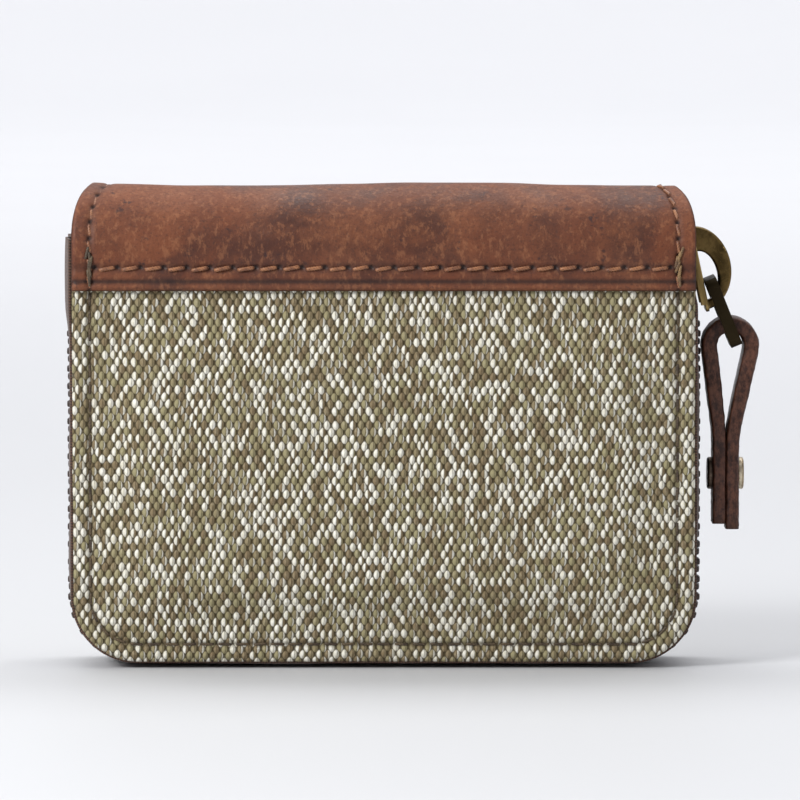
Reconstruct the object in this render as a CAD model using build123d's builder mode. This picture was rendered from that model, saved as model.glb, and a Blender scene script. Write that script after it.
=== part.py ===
"""Small zip-around pouch: two canvas covers joined by a leather spine, closed by a zip on three sides.

Millimetres. X runs along the spine, -Y is the front, +Z is up. The origin is the middle of the bottom,
on the plane the pouch stands on. The covers are cut alike, so the back half mirrors the front half.
The halves meet at the ridge of the spine, which is the line that they open about.
"""

from build123d import *

import os
from math import cos, pi, radians, sin, sqrt, tan

# ---- covers and spine ----------------------------------------------------------------------------
WIDTH = 115.0  # covers, along the spine
COVER_BOTTOM = 1.2  # the zip teeth stand this far below the covers
CORNER_R = 12.0  # lower corners of the covers
SPINE_Z = 77.0  # height of the spine's centre line
BAND_R = 12.2  # outside of the leather over the spine, so the pouch is 24.4 thick
LEATHER_T = 1.2
CANVAS_T = 1.1
FOAM_T = 1.2
LINING_T = 0.4
LINING_GAP = 0.1  # between the foam and the lining
BAND_BOTTOM = 70.0  # lower edge of the leather on each cover
RIDGE_CORNER_X = 3.4  # how far the ends draw in towards the ridge
RIDGE_CORNER_Z = 9.0  # and over what height
FOAM_INSET = 7.0  # clear of the sewn part of the tape
LINING_INSET = 3.7  # clear of the leaning part of the tape

# ---- sewing --------------------------------------------------------------------------------------
SEAM_INSET = 3.3  # edge seam, from the cover's edge
SEAM_PITCH = 3.28
GROOVE_WIDTH = 1.2  # channel that the edge seam pulls into the canvas
GROOVE_DEPTH = 0.35
THREAD_WIDTH = 0.8
THREAD_T = 0.3
THREAD_SHARE = 0.8  # of the pitch that the thread covers
BAND_SEAM_RISE = 4.2  # band seam, above the leather's lower edge
BAND_SEAM_PITCH = 4.3
BAND_SEAM_CLEAR = 1.2  # its ends, from the edge seam

# ---- zip -----------------------------------------------------------------------------------------
CHAIN_X = 57.6  # middle of the chain at the sides
CHAIN_Z = 1.2  # and along the bottom
CHAIN_TOP = 90.0  # the line is carried past the tapes' ends, so that the rings below stay open there
TAPE_TOP = 79.0
LEAN = 12.0  # degrees that the chain leans in above its bend
BEND_Z = 67.0
SLIDER_UP_CHAIN = 5.1  # slider's middle above the bend
TAPE_T = 0.6
TAPE_EDGE_Y = 1.0  # edge of each tape, from the middle of the chain
TAPE_SEWN_WIDTH = 4.0  # part of the tape that lies inside the cover
TOOTH_PITCH = 3.27  # on one tape
TOOTH_LONG = 1.2  # along the chain
TOOTH_T = 2.4
TOOTH_ROOT_Y = 3.0
TOOTH_HEAD_Y = 0.9
TOOTH_SLOT = 0.7  # holds the tape's edge
LAST_TOOTH_Z = 63.9  # the rows end just under the slider
STOP_T = 2.0
STOP_LONG = 1.6
STOP_SLOT = 1.0
STOP_REACH_Y = 2.6
STOP_EDGE_Y = 0.75
STOP_FIT = 0.1  # from the slider

# ---- slider and pull -----------------------------------------------------------------------------
SLIDER_LONG = 13.8
SLIDER_WIDE = 9.2
SLIDER_GAP = 3.6  # between the wings
SLIDER_CORNER_R = 1.4
WING_T = 0.7
FLANGE_T = 0.7
FLANGE_DEEP = 0.7
DIAMOND_WIDE = 1.6
DIAMOND_LONG = 3.0
BRIDGE_T = 2.8
BRIDGE_HALF_LONG = 7.9  # half axes of the bridge's outer ellipse
BRIDGE_OUT = 6.4
BRIDGE_UP = 1.2  # its middle, above the slider's middle
BRIDGE_HOLE_HALF_LONG = 4.6  # and of its opening
BRIDGE_HOLE_OUT = 2.9
BRIDGE_HOLE_UP = -0.3
BRIDGE_EDGE = 0.5

LINK_PIVOT_OUT = 3.85  # upper bar of the link, from the slider's middle
LINK_PIVOT_UP = -1.6
LINK_TILT = 22.0  # degrees from upright, as it hangs
LINK_REACH = 12.1  # bar to bar
LINK_BAR = 1.3
LINK_STRIP = 2.2
LINK_WIDE = 12.2
LINK_CORNER_R = 1.6

STRAP_LOOP_R = 5.2
STRAP_LAYER = 2.5
STRAP_WIDE = 8.0
STRAP_DROP = 0.6  # loop's centre below the link's lower bar
STRAP_INWARD = 0.9
STRAP_TAIL_X = 63.5
STRAP_NECK_Z = 44.0
STRAP_END_Z = 25.0
STRAP_END_STEP = 1.0  # the outer end is cut longer
STRAP_PARTING = 0.1  # between the two layers
RIVET_Z = 35.4
RIVET_CAP_R = 3.0
RIVET_CAP_T = 0.9
RIVET_TUBE_R = 1.2
RIVET_POST_R = 0.7
RIVET_FIT = 0.05

# ---- pockets -------------------------------------------------------------------------------------
POCKET_HALF = 47.0
POCKET_BOTTOM = 8.0
POCKET_T = 0.7
POCKET_GAP = 0.1
POCKET_CORNER_R = 3.0
CARD_SLOT_TOPS = {"tall": 60.0, "middle": 48.0, "short": 36.0}
NOTE_POCKET_TOP = 56.0
THUMB_NOTCH_R = 9.0

# ---- sizes and planes that follow ----------------------------------------------------------------
RIDGE_Z = SPINE_Z + BAND_R
RIDGE_SHOULDER_Z = RIDGE_Z - RIDGE_CORNER_Z
WHOLE_PLANE = 4 * WIDTH  # side of a square that reaches past the whole pouch
CANVAS_R = BAND_R - LEATHER_T
FOAM_R = CANVAS_R - CANVAS_T
LINING_R = FOAM_R - FOAM_T - LINING_GAP
POCKET_Y = LINING_R - LINING_T - POCKET_GAP
SEAM_X = WIDTH / 2 - SEAM_INSET
BEND_R = SLIDER_UP_CHAIN / tan(radians(LEAN / 2))  # so that the bend ends at the slider's middle
LEAN_SIN = sin(radians(LEAN))
LEAN_COS = cos(radians(LEAN))
CHAIN_TOP_X = CHAIN_X - (CHAIN_TOP - BEND_Z) * LEAN_SIN / LEAN_COS
UP_CHAIN = Vector(-LEAN_SIN, 0, LEAN_COS)
OUT_OF_CHAIN = Vector(LEAN_COS, 0, LEAN_SIN)
SLIDER_AT = Vector(CHAIN_X, 0, BEND_Z) + UP_CHAIN * SLIDER_UP_CHAIN
WING_PLANE = Plane(origin=SLIDER_AT, x_dir=(0, 1, 0), z_dir=OUT_OF_CHAIN)
WING_FACE = SLIDER_GAP / 2 + WING_T
LINK_PIVOT = SLIDER_AT + OUT_OF_CHAIN * LINK_PIVOT_OUT + UP_CHAIN * LINK_PIVOT_UP
LINK_DOWN = Vector(sin(radians(LINK_TILT)), 0, -cos(radians(LINK_TILT)))
LINK_PLANE = Plane(origin=LINK_PIVOT, x_dir=(0, 1, 0), z_dir=Vector(0, -1, 0).cross(LINK_DOWN))
STRAP_PIVOT = LINK_PIVOT + LINK_DOWN * LINK_REACH
STRAP_LOOP_AT = (STRAP_PIVOT.X - STRAP_INWARD, STRAP_PIVOT.Z - STRAP_DROP)
RIVET_AT = (STRAP_TAIL_X, 0, RIVET_Z)

os.makedirs("parts", exist_ok=True)


def save(part, name):
    """Labels a finished piece and writes it as its own STEP file."""
    part.label = name
    export_step(part, f"parts/{name}.step")


def save_pair(part, name):
    """Writes the front cover's piece, and its mirror image for the back cover."""
    save(part, f"front_{name}")
    save(mirror(part, about=Plane.XZ), f"back_{name}")


# ---- covers and spine ----------------------------------------------------------------------------
def silhouette(inset):
    """A cover's outline up to the ridge, drawn in by inset; its upper ends curve in."""
    half = WIDTH / 2 - inset
    low = COVER_BOTTOM + inset
    with BuildSketch(Plane.XZ) as outline:
        with BuildLine():
            FilletPolyline(
                (-half, RIDGE_SHOULDER_Z),
                (-half, low),
                (half, low),
                (half, RIDGE_SHOULDER_Z),
                radius=CORNER_R - inset,
            )
            ellipse_x = half - RIDGE_CORNER_X
            EllipticalCenterArc(
                (ellipse_x, RIDGE_SHOULDER_Z), RIDGE_CORNER_X, RIDGE_CORNER_Z, 0, arc_size=90
            )
            EllipticalCenterArc(
                (-ellipse_x, RIDGE_SHOULDER_Z), RIDGE_CORNER_X, RIDGE_CORNER_Z, 90, arc_size=90
            )
            Line((ellipse_x, RIDGE_Z), (-ellipse_x, RIDGE_Z))
        make_face()
    return outline.sketch


def cover_sheet(outer_r, thickness, bottom, inset):
    """Sheet that runs up the front cover and over the spine to the ridge."""
    inner_r = outer_r - thickness
    with BuildPart() as sheet:
        with BuildSketch(Plane.YZ):
            with BuildLine():
                Polyline((-outer_r, SPINE_Z), (-outer_r, bottom), (-inner_r, bottom), (-inner_r, SPINE_Z))
                CenterArc((0, SPINE_Z), inner_r, 90, 90)
                Line((0, SPINE_Z + inner_r), (0, SPINE_Z + outer_r))
                CenterArc((0, SPINE_Z), outer_r, 90, 90)
            make_face()
        extrude(amount=WIDTH / 2, both=True)
        extrude(silhouette(inset), amount=BAND_R, mode=Mode.INTERSECT)
    return sheet.part


def thread(surface_point, along, outward, pitch):
    """One visible stitch, bedded flush with the surface that it holds down."""
    bed = Plane(origin=surface_point - outward * THREAD_T, x_dir=along, z_dir=outward)
    with BuildPart() as one_thread:
        with BuildSketch(bed):
            SlotOverall(pitch * THREAD_SHARE, THREAD_WIDTH)
        extrude(amount=THREAD_T)
    return one_thread.part


def canvas_seam():
    """Edge seam on the canvas, from one end of the leather's edge round to the other."""
    low = COVER_BOTTOM + SEAM_INSET
    with BuildLine(Plane.XZ) as seam:
        FilletPolyline(
            (-SEAM_X, BAND_BOTTOM),
            (-SEAM_X, low),
            (SEAM_X, low),
            (SEAM_X, BAND_BOTTOM),
            radius=CORNER_R - SEAM_INSET,
        )
    line = seam.wires()[0]
    count = round(line.length / SEAM_PITCH)
    out = Vector(0, -1, 0)
    to_surface = out * (CANVAS_R - GROOVE_DEPTH + THREAD_T)
    places = [(index + 0.5) / count for index in range(count)]
    return [thread(line @ place + to_surface, line % place, out, SEAM_PITCH) for place in places]


def spine_seam_at(along, side):
    """Point of the leather's edge seam at a distance along it, and the way out of the leather."""
    turn = max(0.0, (along - (SPINE_Z - BAND_BOTTOM)) / BAND_R)
    level = min(BAND_BOTTOM + along, SPINE_Z)
    outward = Vector(0, -cos(turn), sin(turn))
    rise = max(0.0, level + BAND_R * sin(turn) - RIDGE_SHOULDER_Z) / RIDGE_CORNER_Z
    drawn_in = RIDGE_CORNER_X * (1 - sqrt(max(0.0, 1 - rise**2)))
    return Vector(side * (SEAM_X - drawn_in), 0, level) + outward * BAND_R, outward


def spine_seam():
    """Edge seam where it crosses the leather to the ridge, at both ends of the spine."""
    length = SPINE_Z - BAND_BOTTOM + BAND_R * pi / 2
    count = int(length / SEAM_PITCH)
    threads = []
    for side in (-1, 1):
        for index in range(count):
            middle = (index + 0.5) * length / count
            point, outward = spine_seam_at(middle, side)
            behind, _ = spine_seam_at(middle - SEAM_PITCH / 2, side)
            ahead, _ = spine_seam_at(middle + SEAM_PITCH / 2, side)
            threads.append(thread(point, ahead - behind, outward, SEAM_PITCH))
    return threads


def band_seam():
    """Row of long stitches that holds the leather's lower edge to the canvas."""
    run = 2 * (SEAM_X - BAND_SEAM_CLEAR)
    count = round(run / BAND_SEAM_PITCH)
    z = BAND_BOTTOM + BAND_SEAM_RISE
    out = Vector(0, -1, 0)
    places = [run * ((index + 0.5) / count - 0.5) for index in range(count)]
    return [thread(Vector(x, -BAND_R, z), Vector(1, 0, 0), out, BAND_SEAM_PITCH) for x in places]


leather_threads = spine_seam()
band_threads = band_seam()

with BuildPart() as spine_leather:
    add(cover_sheet(BAND_R, LEATHER_T, BAND_BOTTOM, 0))
    add(leather_threads + band_threads, mode=Mode.SUBTRACT)
save_pair(spine_leather.part, "spine_leather")

with BuildPart() as canvas_panel:
    add(cover_sheet(CANVAS_R, CANVAS_T, COVER_BOTTOM, 0))
    with BuildSketch(Plane.XZ.offset(CANVAS_R)):
        add(silhouette(SEAM_INSET - GROOVE_WIDTH / 2))
        add(silhouette(SEAM_INSET + GROOVE_WIDTH / 2), mode=Mode.SUBTRACT)
        with Locations((0, BAND_BOTTOM + BAND_R)):
            Rectangle(WIDTH, 2 * BAND_R, mode=Mode.SUBTRACT)
    extrude(amount=-GROOVE_DEPTH, mode=Mode.SUBTRACT)
save_pair(canvas_panel.part, "canvas_panel")

save_pair(cover_sheet(FOAM_R, FOAM_T, COVER_BOTTOM, FOAM_INSET), "foam_interlining")
save_pair(cover_sheet(LINING_R, LINING_T, COVER_BOTTOM, LINING_INSET), "lining")
save_pair(Compound(children=canvas_seam() + leather_threads), "edge_stitches")
save_pair(Compound(children=band_threads), "band_stitches")

# ---- zip -----------------------------------------------------------------------------------------
with BuildSketch(Plane.XZ) as chain_outline:
    with BuildLine():
        Polyline(
            (-CHAIN_TOP_X, CHAIN_TOP),
            (-CHAIN_X, BEND_Z),
            (-CHAIN_X, CHAIN_Z),
            (CHAIN_X, CHAIN_Z),
            (CHAIN_X, BEND_Z),
            (CHAIN_TOP_X, CHAIN_TOP),
            close=True,
        )
    make_face()
    fillet(chain_outline.vertices().group_by(Axis.Y)[0], CORNER_R)
    fillet(chain_outline.vertices().group_by(Axis.Y)[-2], BEND_R)

chain_line = Wire(chain_outline.sketch.edges().sort_by(Axis.Z)[:-1])  # all but the closing edge


def in_ring(outward, inward):
    """Flat ring along the chain's line, between an outer and an inner distance from it."""
    with BuildSketch(Plane.XZ) as ring:
        offset(chain_outline.sketch, outward, kind=Kind.INTERSECTION)
        offset(chain_outline.sketch, -inward, kind=Kind.INTERSECTION, mode=Mode.SUBTRACT)
    return ring.sketch


with BuildPart() as zip_tape:
    extrude(in_ring(TAPE_T / 2, TAPE_T / 2), amount=FOAM_R)
    with BuildSketch(Plane.XZ):
        Rectangle(WHOLE_PLANE, WHOLE_PLANE)
    extrude(amount=TAPE_EDGE_Y, mode=Mode.SUBTRACT)
    sewn_part = extrude(in_ring(0, TAPE_SEWN_WIDTH), amount=FOAM_R, mode=Mode.PRIVATE)
    with BuildSketch(Plane.XZ.offset(FOAM_R - TAPE_T)):
        Rectangle(WHOLE_PLANE, WHOLE_PLANE)
    sewn_layer = extrude(amount=TAPE_T, mode=Mode.PRIVATE)
    add(sewn_part & sewn_layer)
    with BuildSketch(Plane.YZ):
        with Locations((-FOAM_R / 2, SPINE_Z / 2)):
            Rectangle(FOAM_R, SPINE_Z)
        with Locations((0, SPINE_Z)):
            Circle(FOAM_R)
        with Locations((0, TAPE_TOP + FOAM_R)):
            Rectangle(4 * FOAM_R, 2 * FOAM_R, mode=Mode.SUBTRACT)
    extrude(amount=WIDTH, both=True, mode=Mode.INTERSECT)
save_pair(zip_tape.part, "zip_tape")


def tooth_row(first, side):
    """Every second tooth of the closed chain, moulded round the edge of the tape on the given side."""
    step = TOOTH_PITCH / 2
    most = int(chain_line.length / 2 / step)
    teeth = []
    for index in range(first - 2 * (most // 2), most, 2):
        place = 0.5 + index * step / chain_line.length
        spot = chain_line @ place
        if spot.Z < LAST_TOOTH_Z:
            with BuildPart(Plane(origin=spot, x_dir=chain_line % place, z_dir=(0, side, 0))) as tooth:
                with Locations((0, 0, (TOOTH_ROOT_Y - TOOTH_HEAD_Y) / 2)):
                    Box(TOOTH_LONG, TOOTH_T, TOOTH_ROOT_Y + TOOTH_HEAD_Y)
                with Locations((0, 0, (TOOTH_ROOT_Y + TAPE_EDGE_Y) / 2)):
                    Box(TOOTH_LONG, TOOTH_SLOT, TOOTH_ROOT_Y - TAPE_EDGE_Y, mode=Mode.SUBTRACT)
            teeth.append(tooth.part)
    return Compound(children=teeth)


save(tooth_row(1, -1), "front_zip_teeth")
save(tooth_row(0, 1), "back_zip_teeth")

with BuildPart() as top_stop:
    above_slider = SLIDER_LONG / 2 + STOP_LONG / 2 + STOP_FIT
    with BuildSketch(WING_PLANE.offset(-STOP_T / 2)):
        with Locations((-(STOP_REACH_Y + STOP_EDGE_Y) / 2, above_slider)):
            Rectangle(STOP_REACH_Y - STOP_EDGE_Y, STOP_LONG)
    extrude(amount=STOP_T)
    with BuildSketch(WING_PLANE.offset(-STOP_SLOT / 2)):
        with Locations((-(STOP_REACH_Y + TAPE_EDGE_Y) / 2, above_slider)):
            Rectangle(STOP_REACH_Y - TAPE_EDGE_Y, STOP_LONG)
    extrude(amount=STOP_SLOT, mode=Mode.SUBTRACT)
save_pair(top_stop.part, "top_stop")

with BuildPart() as zip_end_stop:
    end_z = LAST_TOOTH_Z + TOOTH_LONG / 2 + STOP_LONG / 2
    with BuildSketch(Plane.YZ.offset(-CHAIN_X - STOP_T / 2)):
        with Locations((STOP_REACH_Y / 2, end_z)):
            Rectangle(STOP_REACH_Y, STOP_LONG)
    extrude(amount=STOP_T)
    with BuildSketch(Plane.YZ.offset(-CHAIN_X - STOP_SLOT / 2)):
        with Locations(((STOP_REACH_Y + TAPE_EDGE_Y) / 2, end_z)):
            Rectangle(STOP_REACH_Y - TAPE_EDGE_Y, STOP_LONG)
    extrude(amount=STOP_SLOT, mode=Mode.SUBTRACT)
save(zip_end_stop.part, "zip_end_stop")

# ---- slider --------------------------------------------------------------------------------------
with BuildPart() as slider_body:
    for side in (-1, 1):
        inner_face = WING_PLANE.offset(side * SLIDER_GAP / 2)
        with BuildSketch(inner_face):
            RectangleRounded(SLIDER_WIDE, SLIDER_LONG, SLIDER_CORNER_R)
        extrude(amount=side * WING_T)
        with BuildSketch(inner_face):
            with GridLocations(SLIDER_WIDE - FLANGE_T, 1, 2, 1):
                Rectangle(FLANGE_T, SLIDER_LONG - 2 * SLIDER_CORNER_R)
        extrude(amount=-side * FLANGE_DEEP)
    with BuildSketch(WING_PLANE.offset(-SLIDER_GAP / 2)):
        with Locations((0, (SLIDER_LONG - DIAMOND_LONG) / 2)):
            Rectangle(DIAMOND_WIDE, DIAMOND_LONG)
    extrude(amount=SLIDER_GAP)
save(slider_body.part, "slider_body")

with BuildPart() as slider_bridge:
    with BuildSketch(Plane(origin=SLIDER_AT, x_dir=UP_CHAIN, z_dir=(0, 1, 0))):
        with Locations((BRIDGE_UP, SLIDER_GAP / 2)):
            Ellipse(BRIDGE_HALF_LONG, BRIDGE_OUT)
        with Locations((BRIDGE_HOLE_UP, WING_FACE)):
            Ellipse(BRIDGE_HOLE_HALF_LONG, BRIDGE_HOLE_OUT, mode=Mode.SUBTRACT)
        with Locations((0, WING_FACE - BRIDGE_OUT)):
            Rectangle(SLIDER_LONG, 2 * BRIDGE_OUT, mode=Mode.SUBTRACT)
        with Locations((0, SLIDER_GAP / 2 - BRIDGE_OUT)):
            Rectangle(4 * BRIDGE_HALF_LONG, 2 * BRIDGE_OUT, mode=Mode.SUBTRACT)
    extrude(amount=BRIDGE_T / 2, both=True)
    curved_edges = slider_bridge.edges().filter_by(GeomType.ELLIPSE)
    fillet(curved_edges, BRIDGE_EDGE)
save(slider_bridge.part, "slider_bridge")

# ---- pull ----------------------------------------------------------------------------------------
with BuildPart() as pull_link:
    with BuildSketch(LINK_PLANE):
        with Locations((0, -LINK_REACH / 2)):
            RectangleRounded(LINK_WIDE, LINK_REACH + LINK_BAR, LINK_CORNER_R)
            Rectangle(LINK_WIDE - 2 * LINK_BAR, LINK_REACH - LINK_BAR, mode=Mode.SUBTRACT)
    extrude(amount=LINK_STRIP / 2, both=True)
save(pull_link.part, "pull_link")

with BuildPart() as pull_strap:
    tail_middle = (STRAP_TAIL_X, (STRAP_NECK_Z + STRAP_END_Z) / 2)
    tail_long = STRAP_NECK_Z - STRAP_END_Z
    with BuildSketch(Plane.XZ):
        with Locations(STRAP_LOOP_AT):
            Circle(STRAP_LOOP_R)
        with Locations((STRAP_TAIL_X, STRAP_NECK_Z)):
            Rectangle(2 * STRAP_LAYER, STRAP_PARTING)
        make_hull()
        with Locations(tail_middle):
            Rectangle(2 * STRAP_LAYER, tail_long)
        with Locations((STRAP_TAIL_X - STRAP_LAYER, STRAP_END_Z)):
            Rectangle(2 * STRAP_LAYER, 2 * STRAP_END_STEP, mode=Mode.SUBTRACT)
    extrude(amount=STRAP_WIDE / 2, both=True)
    with BuildSketch(Plane.XZ):
        with Locations(STRAP_LOOP_AT):
            Circle(STRAP_LOOP_R - STRAP_LAYER)
        with Locations((STRAP_TAIL_X, STRAP_NECK_Z)):
            Rectangle(STRAP_PARTING, STRAP_PARTING)
        make_hull()
        with Locations((STRAP_TAIL_X, STRAP_END_Z)):
            Rectangle(STRAP_PARTING, 2 * tail_long)
    extrude(amount=STRAP_WIDE, both=True, mode=Mode.SUBTRACT)
    with BuildSketch(Plane(origin=RIVET_AT, z_dir=(1, 0, 0))):
        Circle(RIVET_TUBE_R + RIVET_FIT)
    extrude(amount=2 * STRAP_LAYER, both=True, mode=Mode.SUBTRACT)
save(pull_strap.part, "pull_strap")

with BuildPart() as rivet_post_cap:
    with BuildSketch(Plane(origin=RIVET_AT, z_dir=(-1, 0, 0)).offset(STRAP_LAYER)):
        Circle(RIVET_CAP_R)
    extrude(amount=RIVET_CAP_T)
    fillet(rivet_post_cap.edges().sort_by(Axis.X)[0], RIVET_CAP_T / 2)
    with BuildSketch(Plane(origin=RIVET_AT, z_dir=(-1, 0, 0)).offset(STRAP_LAYER)):
        Circle(RIVET_POST_R)
    extrude(amount=RIVET_FIT - 2 * STRAP_LAYER)
save(rivet_post_cap.part, "rivet_post_cap")

with BuildPart() as rivet_tube_cap:
    with BuildSketch(Plane(origin=RIVET_AT, z_dir=(1, 0, 0)).offset(STRAP_LAYER)):
        Circle(RIVET_CAP_R)
    extrude(amount=RIVET_CAP_T)
    fillet(rivet_tube_cap.edges().sort_by(Axis.X)[-1], RIVET_CAP_T / 2)
    with BuildSketch(Plane(origin=RIVET_AT, z_dir=(1, 0, 0)).offset(STRAP_LAYER)):
        Circle(RIVET_TUBE_R)
        Circle(RIVET_POST_R + RIVET_FIT, mode=Mode.SUBTRACT)
    extrude(amount=RIVET_FIT - 2 * STRAP_LAYER)
save(rivet_tube_cap.part, "rivet_tube_cap")


# ---- pockets -------------------------------------------------------------------------------------
def pocket(top, outer_y):
    """Flat pocket, open upwards, with a thumb notch in its upper edge."""
    with BuildPart() as panel:
        with BuildSketch(Plane.XZ.offset(outer_y)):
            with Locations((0, (POCKET_BOTTOM + top) / 2)):
                RectangleRounded(2 * POCKET_HALF, top - POCKET_BOTTOM, POCKET_CORNER_R)
            with Locations((0, top + THUMB_NOTCH_R / 2)):
                Circle(THUMB_NOTCH_R, mode=Mode.SUBTRACT)
        extrude(amount=-POCKET_T)
    return panel.part


for layer, (slot_name, slot_top) in enumerate(CARD_SLOT_TOPS.items()):
    save(pocket(slot_top, POCKET_Y - layer * (POCKET_T + POCKET_GAP)), f"card_slot_{slot_name}")
save(mirror(pocket(NOTE_POCKET_TOP, POCKET_Y), about=Plane.XZ), "note_pocket")
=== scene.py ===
"""Looks of a small zip-around pouch: canvas covers, a leather spine, a moulded zip and its pull.

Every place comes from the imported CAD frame, in metres. -Y is the front, +Z is up, +X the pull's side.
"""

from math import cos, pi, radians, sin

import bmesh
import bpy
import numpy as np
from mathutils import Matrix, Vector
from mathutils.bvhtree import BVHTree


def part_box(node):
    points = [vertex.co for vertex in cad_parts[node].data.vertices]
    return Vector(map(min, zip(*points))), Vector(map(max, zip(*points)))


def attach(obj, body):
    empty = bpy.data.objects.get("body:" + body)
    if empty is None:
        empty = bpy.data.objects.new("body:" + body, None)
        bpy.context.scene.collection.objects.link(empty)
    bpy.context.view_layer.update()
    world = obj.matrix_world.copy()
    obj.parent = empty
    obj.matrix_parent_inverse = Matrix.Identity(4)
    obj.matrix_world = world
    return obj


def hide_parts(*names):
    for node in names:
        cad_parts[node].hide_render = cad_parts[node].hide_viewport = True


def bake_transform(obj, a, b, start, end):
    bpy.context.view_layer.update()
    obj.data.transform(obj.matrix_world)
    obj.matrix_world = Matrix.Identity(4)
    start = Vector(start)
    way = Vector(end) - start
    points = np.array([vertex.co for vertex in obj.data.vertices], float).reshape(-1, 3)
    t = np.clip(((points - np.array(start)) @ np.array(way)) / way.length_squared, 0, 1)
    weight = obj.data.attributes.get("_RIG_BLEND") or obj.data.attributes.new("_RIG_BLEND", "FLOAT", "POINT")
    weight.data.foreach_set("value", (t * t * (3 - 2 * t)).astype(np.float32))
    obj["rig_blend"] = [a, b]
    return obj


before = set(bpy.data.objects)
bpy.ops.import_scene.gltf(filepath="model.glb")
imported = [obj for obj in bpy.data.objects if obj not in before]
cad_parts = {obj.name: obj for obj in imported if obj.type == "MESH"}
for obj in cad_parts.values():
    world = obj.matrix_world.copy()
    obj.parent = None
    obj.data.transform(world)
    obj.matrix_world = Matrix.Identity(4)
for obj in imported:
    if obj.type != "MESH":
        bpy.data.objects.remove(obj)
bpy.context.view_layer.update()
MM = 0.001
rng = np.random.default_rng(7)

# ---- sizes read from the frame ----
canvas_low, canvas_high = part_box("front_canvas_panel")
leather_low, leather_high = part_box("front_spine_leather")
lining_low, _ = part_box("front_lining")
tape_low, tape_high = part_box("front_zip_tape")
_, teeth_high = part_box("back_zip_teeth")
seam_low, seam_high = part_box("front_band_stitches")
strap_low, strap_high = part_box("pull_strap")
rivet_low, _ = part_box("rivet_post_cap")

HALF = canvas_high.x  # half the covers' width
LOW = canvas_low.z  # lower edge of the covers
FACE = -canvas_low.y  # outer face of the canvas, from the middle
RIDGE = leather_high.z
BAND_R = -leather_low.y  # outer radius of the leather over the spine
BAND_BOTTOM = leather_low.z
SPINE_Z = RIDGE - BAND_R  # height of the spine's axis
LINING_R = -lining_low.y
TAPE_Y = -tape_low.y
CHAIN_Z = tape_low.z + 0.3 * MM  # middle of the tape's thickness under the pouch
TOOTH_TOP_Z = teeth_high.z
CORNER_R = 12 * MM
SEAM_INSET = 3.3 * MM
BAND_SEAM_Z = (seam_low.z + seam_high.z) / 2
RIDGE_CORNER_X, RIDGE_CORNER_Z = 3.4 * MM, 9.0 * MM
STITCH_PITCH = 3.28 * MM
WEAVE_X, WEAVE_Z = 1.50 * MM, 1.26 * MM
SIDES = ((-1, "front"), (1, "back"))
COVER_SEED = 11  # the front cover takes the seed below it, the back cover the seed above it
NUB_HALF_U, NUB_HALF_V, NUB_POWER = 0.41, 0.74, 1.9  # outline of one nub, in weave pitches


# ---- mesh tools ----
def make_object(name, vertices, faces, material):
    """Smooth-shaded mesh object from an array of points and a list of faces."""
    mesh = bpy.data.meshes.new(name)
    mesh.from_pydata(vertices.tolist(), [], faces)
    mesh.polygons.foreach_set("use_smooth", [True] * len(mesh.polygons))
    mesh.materials.append(material)
    piece = bpy.data.objects.new(name, mesh)
    bpy.context.collection.objects.link(piece)
    return piece


def solidify(piece, thick, offset):
    """Gives a surface its thickness; offset is -1 for inwards and 0 for both ways."""
    solid = piece.modifiers.new("thickness", "SOLIDIFY")
    solid.thickness, solid.offset = thick, offset
    return apply_modifiers(piece)


def grid_faces(rows, cols, ring=False, flip=False):
    """Quads of a rows by cols grid; ring closes it across the columns."""
    index = np.arange(rows * cols).reshape(rows, cols)
    if ring:
        index = np.hstack([index, index[:, :1]])
    quads = np.stack([index[:-1, :-1], index[:-1, 1:], index[1:, 1:], index[1:, :-1]], -1)
    quads = quads.reshape(-1, 4)
    return quads[:, ::-1] if flip else quads


def grid_object(name, points, material, flip=False):
    """Object from an array of points, rows by cols by 3."""
    rows, cols = points.shape[:2]
    return make_object(name, points.reshape(-1, 3), grid_faces(rows, cols, flip=flip).tolist(), material)


def apply_modifiers(piece):
    """Replaces the mesh by its modified self, so that no modifier stays on the piece."""
    graph = bpy.context.evaluated_depsgraph_get()
    mesh = bpy.data.meshes.new_from_object(piece.evaluated_get(graph))
    piece.modifiers.clear()
    piece.data = mesh
    return piece


def stand_for(piece, body, slot, *nodes):
    """Lets a piece ride on a body, in place of CAD nodes if any are named; slot is not used."""
    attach(piece, body)
    if nodes:
        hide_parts(*nodes)


def add_float(piece, name, values):
    """Stores one number per vertex for a material to read."""
    attribute = piece.data.attributes.new(name, "FLOAT", "POINT")
    attribute.data.foreach_set("value", np.asarray(values, np.float32).ravel())


def smooth_step(value, low, high):
    """0 below low, 1 above high, and smooth between."""
    share = np.clip((value - low) / (high - low), 0, 1)
    return share * share * (3 - 2 * share)


def bell(value, width):
    """1 where the value is 0, falling to nearly nothing at twice the width."""
    return np.exp(-((value / width) ** 2))


def waves(a, b, size, seed):
    """Smooth, repeatable unevenness between about -1 and 1, with features of the given size."""
    source = np.random.default_rng(seed)
    total = np.zeros(np.broadcast(a, b).shape)
    for _ in range(7):
        angle, phase = source.uniform(0, 2 * pi, 2)
        wavelength = size * source.uniform(0.7, 1.8)
        total = total + np.sin((a * np.cos(angle) + b * np.sin(angle)) * 2 * pi / wavelength + phase)
    return total / 4


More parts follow.
